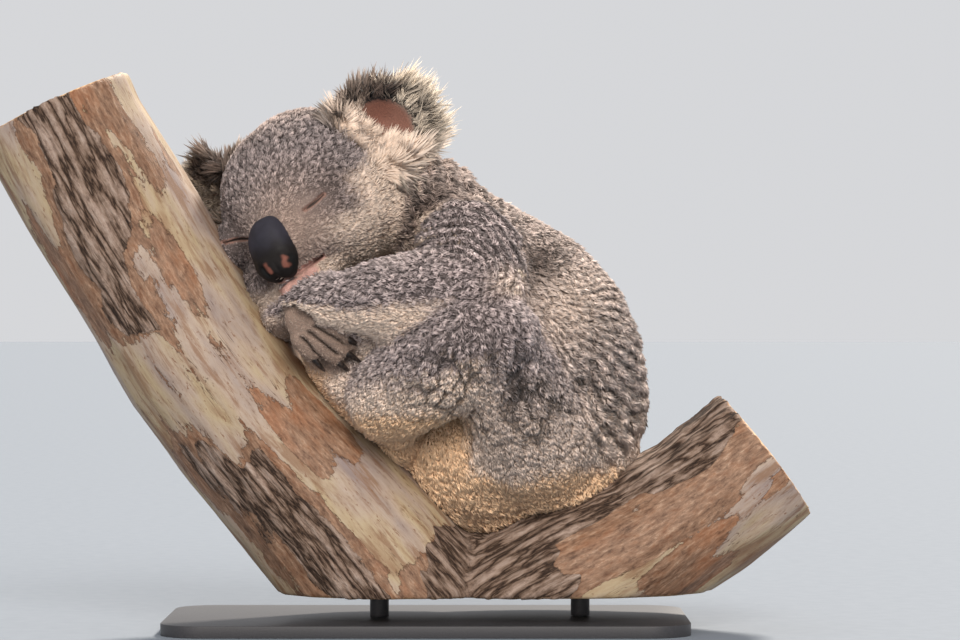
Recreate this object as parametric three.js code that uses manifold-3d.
// A koala asleep in the fork of a gum tree, life size, on a cut length of the fork and a plain stand.
// Millimetres, +Z up. The origin is on the floor, under the crotch of the fork.
// The koala's body faces -X and its face is turned towards -Y, which is also its left side.
import * as THREE from "three";
import { mergeVertices } from "three/addons/utils/BufferGeometryUtils.js";
import Module from "manifold-3d";

const wasm = await Module();
wasm.setup();

// ---- Driving dimensions ----
const GAP = 0.4; // clearance between solids that touch
const BASE = { length: 440, width: 220, thick: 10, corner: 36, x: -45 };
const ROD = { radius: 8, from: BASE.thick, to: 31, at: [[-85, -16], [85, -4]] };
const STUB_FLOOR = ROD.to + GAP; // height of the saw cut under the fork
const HEAD = { centre: [-143, -25, 363], turn: 26.5, nod: 14, roll: 20.5, halves: [76, 79, 82] };
const NOSE = { halves: [17, 30, 15], ahead: 88, below: 24, lean: 12 };
const JAW = { halves: [34, 18, 40], ahead: 48, below: 58 };
const EYE = { halves: [12, 8, 6], out: 39, ahead: 63, below: 3 };
const EAR = { halves: [58, 50, 15], bowl: [32, 28, 10], bowlAhead: 14, bowlIn: 8 };
const EARS = {
  ear_left: { side: 1, at: [90, 31, -16] },
  ear_right: { side: -1, at: [-90, 38, -16] },
};
const EAR_TURN = 29; // degrees, how far each ear's hollow looks out to its own side
const DIGIT_RADIUS = 6.5;
const CLAW = { radius: 3.1, length: 17 };

// ---- Finishes ----
const finish = (color, roughness) => new THREE.MeshStandardMaterial({ color, roughness, metalness: 0 });
const GREY_FUR = finish(0x8a817c, 0.95);
const PALE_FUR = finish(0xb5a78f, 0.95);
const NOSE_SKIN = finish(0x2b2829, 0.55);
const CLAW_HORN = finish(0x1d1a19, 0.4);
const BARK = finish(0xa8927c, 0.85);
const STAND_PAINT = finish(0x2e2e30, 0.6);

// ---- Shaping tools ----
const vector = ([x, y, z]) => new THREE.Vector3(x, y, z);
const degrees = THREE.MathUtils.degToRad;
const SIDEWAYS = [0, 1, 0];

// A point moved by an offset along each of some axes.
function moved(point, axes, offsets) {
  return axes.reduce((sum, axis, i) => sum.addScaledVector(axis, offsets[i]), point.clone());
}

// A closed three.js geometry as a solid, with its seam and poles merged.
function solidOf(geometry) {
  const bare = geometry.clone();
  bare.deleteAttribute("normal");
  bare.deleteAttribute("uv");
  const merged = mergeVertices(bare, 1e-4);
  const corners = merged.index.array;
  const faces = [];
  for (let i = 0; i < corners.length; i += 3) {
    const [a, b, c] = corners.slice(i, i + 3);
    if (a !== b && b !== c && c !== a) faces.push(a, b, c);
  }
  const vertProperties = merged.attributes.position.array;
  const mesh = new wasm.Mesh({ numProp: 3, vertProperties, triVerts: new Uint32Array(faces) });
  const made = new wasm.Manifold(mesh);
  return made.volume() < 0 ? solidOf(turnedOut(merged, faces)) : made;
}

function turnedOut(geometry, faces) {
  const turned = geometry.clone();
  turned.setIndex(faces.flatMap((_, i) => (i % 3 ? [] : [faces[i], faces[i + 2], faces[i + 1]])));
  return turned;
}

function moveEach(geometry, rule) {
  const place = geometry.attributes.position;
  for (let i = 0; i < place.count; i++) {
    place.setXYZ(i, ...rule(new THREE.Vector3().fromBufferAttribute(place, i)));
  }
  return solidOf(geometry);
}

// A capsule, or a cylinder where the ends are flat, bent along a curve. Each station is
// [x, y, z, half-width, half-width towards the reference], and the section turns smoothly between them.
function loft(stations, options) {
  const { reference = SIDEWAYS, around, along, cap, flat = false, relief, grow } = options;
  const line = new THREE.CatmullRomCurve3(stations.map(([x, y, z]) => new THREE.Vector3(x, y, z)));
  line.curveType = "catmullrom";
  const widths = new THREE.CatmullRomCurve3(stations.map((s) => new THREE.Vector3(s[3], s[4] ?? s[3], 0)));
  widths.curveType = "catmullrom";
  const full = 2 / (1 + Math.cos(Math.PI / around)); // so that the facets average the true width
  const form = flat
    ? new THREE.CylinderGeometry(1, 1, 1, around, along)
    : new THREE.CapsuleGeometry(1, 1, cap, around, along);
  return moveEach(form, (p) => {
    const t = THREE.MathUtils.clamp(p.y + 0.5, 0, 1);
    const tangent = line.getTangent(t);
    const side = vector(reference).addScaledVector(tangent, -vector(reference).dot(tangent)).normalize();
    const across = new THREE.Vector3().crossVectors(tangent, side);
    const width = widths.getPoint(t);
    const bulge = relief ? relief(t, Math.atan2(p.z, p.x)) : 1;
    const past = (p.y + 0.5 - t) * (width.x + grow);
    return line.getPoint(t)
      .addScaledVector(tangent, past)
      .addScaledVector(side, p.x * (width.y * bulge * full + grow))
      .addScaledVector(across, p.z * (width.x * bulge * full + grow));
  });
}

// Axes of something that looks along -Y, turned to -X, nodded down and rolled about its own line of sight.
function facing({ centre, turn, nod, roll }) {
  const ahead = new THREE.Vector3(-Math.sin(degrees(turn)), -Math.cos(degrees(turn)), 0);
  ahead.multiplyScalar(Math.cos(degrees(nod))).setZ(-Math.sin(degrees(nod)));
  const left = new THREE.Vector3(-ahead.y, ahead.x, 0).normalize().applyAxisAngle(ahead, degrees(roll));
  const up = new THREE.Vector3().crossVectors(ahead, left);
  const axes = [left, up, ahead];
  const at = (...offsets) => moved(vector(centre), axes, offsets);
  return { left, up, ahead, axes, at };
}

// An ellipsoid in given axes; each swelling pushes it out or in round a direction, over a spread.
function ball(middle, axes, halves, { swellings = [], around, rings, grow }) {
  return moveEach(new THREE.SphereGeometry(1, around, rings), (p) => {
    const push = swellings.reduce((sum, { towards, by, spread }) => {
      const apart = p.distanceTo(vector(towards).normalize());
      return sum + by * Math.exp(-((apart / spread) ** 2));
    }, grow);
    return moved(middle, axes, [p.x, p.y, p.z].map((part, i) => part * (halves[i] + push)));
  });
}

const join = (solids) => solids.reduce((all, one) => all.add(one));

// ---- The fork and its stand ----
const barkRelief = (strength) => (t, angle) =>
  1 + strength * (Math.sin(3 * angle + 9 * t) + 0.7 * Math.sin(5 * angle - 14 * t) + 0.5 * Math.sin(26 * t));

const LEADER_LINE = [
  [-26, -15, -62, 84, 92], [-58, -20, 14, 80, 88], [-123, -28, 94, 73, 78], [-183, -34, 163, 70, 72],
  [-240, -38, 239, 69], [-298, -40, 333, 68], [-340, -42, 406, 67], [-356, -42, 440, 67],
];
const BRANCH_LINE = [
  [-70, -14, -56, 76, 88], [42, -14, 22, 69, 90], [139, -12, 73, 65, 82],
  [204, -8, 117, 63, 72], [242, -6, 146, 62, 66],
];
const SEAT_LINE = [[-70, -12, 56, 42, 62], [10, -8, 34, 46, 66], [90, 0, 52, 44, 62]];

function fork(grow = 0) {
  const leader = loft(LEADER_LINE, { around: 16, along: 9, flat: true, relief: barkRelief(0.016), grow });
  const branch = loft(BRANCH_LINE, { around: 16, along: 6, flat: true, relief: barkRelief(0.02), grow });
  const seat = loft(SEAT_LINE, { around: 12, along: 3, cap: 1, grow });
  const below = new THREE.BoxGeometry(900, 500, 400).translate(0, 0, STUB_FLOOR - grow - 200);
  return leader.add(branch).add(seat).subtract(solidOf(below));
}

function standBase() {
  const { length, width, thick, corner } = BASE;
  const outline = new THREE.Shape();
  const [x, y] = [length / 2, width / 2];
  outline.moveTo(-x + corner, -y).lineTo(x - corner, -y);
  outline.absarc(x - corner, -y + corner, corner, -Math.PI / 2, 0);
  outline.absarc(x - corner, y - corner, corner, 0, Math.PI / 2);
  outline.absarc(-x + corner, y - corner, corner, Math.PI / 2, Math.PI);
  outline.absarc(-x + corner, -y + corner, corner, Math.PI, 1.5 * Math.PI);
  const plate = new THREE.ExtrudeGeometry(outline, { depth: thick, bevelEnabled: false, curveSegments: 5 });
  return solidOf(plate.translate(BASE.x, 0, 0));
}

function standRod([x, y]) {
  const length = ROD.to - ROD.from - GAP;
  const rod = new THREE.CylinderGeometry(ROD.radius, ROD.radius, length, 16).rotateX(Math.PI / 2);
  return solidOf(rod.translate(x, y, ROD.from + GAP + length / 2));
}

// ---- The head ----
const face = facing(HEAD);
const HEAD_SWELLINGS = [
  { towards: [0, -0.4, 1], by: 14, spread: 0.5 }, // muzzle
  { towards: [0, 0.3, 0.95], by: -5, spread: 0.38 }, // bridge of the nose
  { towards: [0.6, 0, 0.8], by: -4, spread: 0.3 }, // left eye hollow
  { towards: [-0.6, 0, 0.8], by: -4, spread: 0.3 },
  { towards: [0.85, -0.4, -0.25], by: 9, spread: 0.55 }, // left cheek
  { towards: [-0.85, -0.4, -0.25], by: 6, spread: 0.55 },
  { towards: [0, -0.9, 0.2], by: -6, spread: 0.5 }, // throat
  { towards: [0, 0, -1], by: -10, spread: 0.7 }, // nape
];

function skull(grow) {
  const options = { swellings: HEAD_SWELLINGS, around: 20, rings: 12, grow };
  return ball(vector(HEAD.centre), face.axes, HEAD.halves, options);
}

function jaw(grow) {
  return ball(face.at(0, -JAW.below, JAW.ahead), face.axes, JAW.halves, { around: 12, rings: 6, grow });
}

function nose(grow) {
  const lean = degrees(NOSE.lean);
  const tallest = face.up.clone().multiplyScalar(Math.cos(lean)).addScaledVector(face.ahead, -Math.sin(lean));
  const outward = new THREE.Vector3().crossVectors(face.left, tallest);
  const middle = face.at(0, -NOSE.below, NOSE.ahead);
  const swellings = [
    { towards: [0, -1, 0.4], by: 1.5, spread: 0.8 },
    { towards: [0, 1, 0], by: -2, spread: 0.6 },
  ];
  return ball(middle, [face.left, tallest, outward], NOSE.halves, { swellings, around: 12, rings: 8, grow });
}

// A shut eye: the lids over the ball.
function shutEye(side, grow) {
  const middle = face.at(side * EYE.out, -EYE.below, EYE.ahead);
  const outward = face.ahead.clone().multiplyScalar(0.8).addScaledVector(face.left, side * 0.6);
  const along = new THREE.Vector3().crossVectors(face.up, outward).normalize();
  return ball(middle, [along, face.up, outward], EYE.halves, { around: 10, rings: 6, grow });
}

// A round ear, out to the tips of its fringe, hollowed on the side that it listens with.
function ear({ side, at }, grow) {
  const middle = face.at(...at);
  const outward = face.ahead.clone().applyAxisAngle(face.up, side * degrees(EAR_TURN));
  const wide = new THREE.Vector3().crossVectors(face.up, outward);
  const axes = [wide, face.up, outward];
  const shell = ball(middle, axes, EAR.halves, { around: 16, rings: 7, grow });
  const bowlMiddle = moved(middle, axes, [-side * EAR.bowlIn, 0, EAR.bowlAhead]);
  return shell.subtract(ball(bowlMiddle, axes, EAR.bowl, { around: 12, rings: 5, grow: -grow }));
}

// ---- Paws ----
// A paw's digits start across its knuckles and curl palmwards. Each is [place across, turn in degrees, length].
function pawShapes({ wrist, ahead, back, palm, digits, curl }) {
  const forward = vector(ahead).normalize();
  const dorsal = vector(back).addScaledVector(forward, -vector(back).dot(forward)).normalize();
  const across = new THREE.Vector3().crossVectors(dorsal, forward);
  const at = (...offsets) => moved(vector(wrist), [forward, across, dorsal], offsets);
  const pad = [
    [...at(0, 0, 0), palm.wrist, palm.wrist],
    [...at(palm.length * 0.55, 0, 1), palm.thick, palm.wide],
    [...at(palm.length, 0, -1), palm.thick * 0.8, palm.wide * 0.9],
  ];
  const made = digits.map(([place, turn, length]) => {
    const onward = forward.clone().applyAxisAngle(dorsal, -degrees(turn));
    const reference = new THREE.Vector3().crossVectors(onward, dorsal).toArray();
    const root = at(palm.length * 0.8, place, 0);
    const joint = (share, drop) => moved(root, [onward, dorsal], [length * share, -length * drop * curl]);
    const tip = joint(1, 0.28);
    const hook = (far, drop) => moved(tip, [onward, dorsal], [CLAW.length * far, -CLAW.length * drop]);
    const fingerLine = [
      [...joint(0, 0), DIGIT_RADIUS],
      [...joint(0.55, -0.06), DIGIT_RADIUS * 1.02],
      [...tip, DIGIT_RADIUS * 0.8],
    ];
    const clawLine = [
      [...hook(0.05, -0.05), CLAW.radius],
      [...hook(0.4, 0.06), CLAW.radius * 0.85],
      [...hook(0.75, 0.3), CLAW.radius * 0.5],
      [...hook(0.95, 0.6), CLAW.radius * 0.16],
    ];
    return {
      finger: (grow) => loft(fingerLine, { reference, around: 6, along: 2, cap: 1, grow }),
      claw: (grow) => loft(clawLine, { reference, around: 5, along: 3, cap: 1, grow }),
    };
  });
  const palmShape = (grow) => loft(pad, { reference: across.toArray(), around: 8, along: 3, cap: 1, grow });
  const whole = (grow) => join([palmShape(grow), ...made.map(({ finger }) => finger(grow))]);
  return { whole, claws: made.map(({ claw }) => claw) };
}

const PAWS = {
  hand_left: {
    wrist: [-152, -103, 266], ahead: [0.66, 0, -0.75], back: [-0.1, -1, 0.05], curl: 0.7,
    palm: { wrist: 15, length: 20, thick: 11, wide: 15 },
    digits: [[9, -19, 27], [2, -13, 34], [-4, -6, 34], [-12, 3, 19]],
  },
  hand_right: {
    wrist: [-176, 48, 246], ahead: [-0.93, -0.12, -0.1], back: [0, 1, 0.1], curl: 0.9,
    palm: { wrist: 15, length: 30, thick: 10, wide: 17 },
    digits: [[13, -30, 30], [7, -10, 34], [0, 0, 36], [-7, 10, 34], [-13, 26, 30]],
  },
  foot_left: {
    wrist: [-88, -76, 187], ahead: [-0.5, 0.62, 0.6], back: [0.7, -0.3, 0.55], curl: 1.2,
    palm: { wrist: 24, length: 36, thick: 18, wide: 22 },
    digits: [[12, 12, 15], [4, 5, 17], [-4, 0, 17], [-12, -6, 15]],
  },
  foot_right: {
    wrist: [-90, 54, 177], ahead: [-0.72, -0.1, 0.5], back: [0.3, 0.8, 0.5], curl: 1,
    palm: { wrist: 21, length: 34, thick: 15, wide: 22 },
    digits: [[14, -24, 24], [5, -8, 26], [-5, 8, 26], [-14, 26, 24]],
  },
};

// ---- Limbs and trunk: lofts from joint to joint ----
const LIMBS = {
  arm_left: [
    [[-12, -58, 320, 45], [-2, -80, 302, 40], [2, -90, 288, 34]],
    [
      [0, -100, 284, 38], [-30, -106, 284, 38], [-68, -108, 280, 37],
      [-92, -107, 277, 33], [-116, -105, 277, 25], [-150, -100, 276, 18],
    ],
  ],
  arm_right: [
    [[-15, 60, 320, 45], [-15, 84, 290, 40], [-24, 94, 262, 32]],
    [[-29, 100, 254, 35], [-68, 88, 248, 33], [-110, 66, 248, 26], [-152, 50, 249, 18]],
  ],
  leg_left: [
    [[48, -54, 158, 57], [32, -86, 197, 48], [12, -104, 232, 40]],
    [[8, -110, 243, 48], [-30, -106, 225, 47], [-74, -88, 197, 41]],
  ],
  leg_right: [
    [[48, 54, 158, 57], [34, 88, 197, 48], [14, 106, 230, 40]],
    [[10, 110, 236, 44], [-34, 94, 210, 40], [-82, 64, 182, 33]],
  ],
};
const NECK_LINE = [[-90, -14, 358, 46, 50], [-66, -10, 360, 50, 54], [-34, -4, 348, 50, 56]];
const TRUNK_LINE = [
  [-47, -5, 352, 42, 56], [-13, 0, 319, 59, 76], [30, 0, 265, 87, 88],
  [52, 0, 214, 92, 97], [55, 0, 168, 88, 92],
];
const RUMP = { centre: [8, 0, 150], halves: [80, 84, 73] };
const WORLD_AXES = [[1, 0, 0], [0, 1, 0], [0, 0, 1]].map(vector);

function trunk(grow) {
  const rump = ball(vector(RUMP.centre), WORLD_AXES, RUMP.halves, { around: 16, rings: 8, grow });
  return loft(TRUNK_LINE, { around: 20, along: 7, cap: 2, grow }).add(rump);
}

// ---- Assembly: an earlier piece keeps its shape, and a later one is cut clear of it ----
const placed = [];

function biggest(solid) {
  return solid.decompose().reduce((best, one) => (one.volume() > best.volume() ? one : best));
}

function place(name, material, shape) {
  const whole = placed.reduce((left, earlier) => left.subtract(earlier.keepOut), shape(0));
  placed.push({ name, material, solid: biggest(whole), keepOut: shape(GAP) });
}

place("perch_fork", BARK, fork);
const paws = Object.fromEntries(Object.entries(PAWS).map(([name, sizes]) => [name, pawShapes(sizes)]));
for (const [name, { claws }] of Object.entries(paws)) {
  claws.forEach((claw, i) => place(`claw_${name}_${i + 1}`, CLAW_HORN, claw));
}
place("nose", NOSE_SKIN, nose);
place("eyelids_left", GREY_FUR, (grow) => shutEye(1, grow));
place("eyelids_right", GREY_FUR, (grow) => shutEye(-1, grow));
for (const [name, { whole }] of Object.entries(paws)) place(name, GREY_FUR, whole);
place("head", GREY_FUR, skull);
place("jaw", PALE_FUR, jaw);
for (const [name, sizes] of Object.entries(EARS)) place(name, PALE_FUR, (grow) => ear(sizes, grow));
place("trunk", GREY_FUR, trunk);
for (const [name, bones] of Object.entries(LIMBS)) {
  const limb = (grow) => join(bones.map((line) => loft(line, { around: 12, along: 4, cap: 2, grow })));
  place(name, GREY_FUR, limb);
}
place("neck", GREY_FUR, (grow) => loft(NECK_LINE, { around: 12, along: 2, cap: 2, grow }));
place("stand_base", STAND_PAINT, standBase);
ROD.at.forEach((spot, i) => place(`stand_rod_${i + 1}`, STAND_PAINT, () => standRod(spot)));

function meshOf({ name, material, solid }) {
  const { vertProperties, triVerts } = solid.getMesh();
  const geometry = new THREE.BufferGeometry();
  geometry.setAttribute("position", new THREE.BufferAttribute(vertProperties, 3));
  geometry.setIndex(new THREE.BufferAttribute(triVerts, 1));
  geometry.computeVertexNormals();
  const mesh = new THREE.Mesh(geometry, material);
  mesh.name = name;
  return mesh;
}

const model = new THREE.Group();
model.add(...placed.map(meshOf));

export default model;
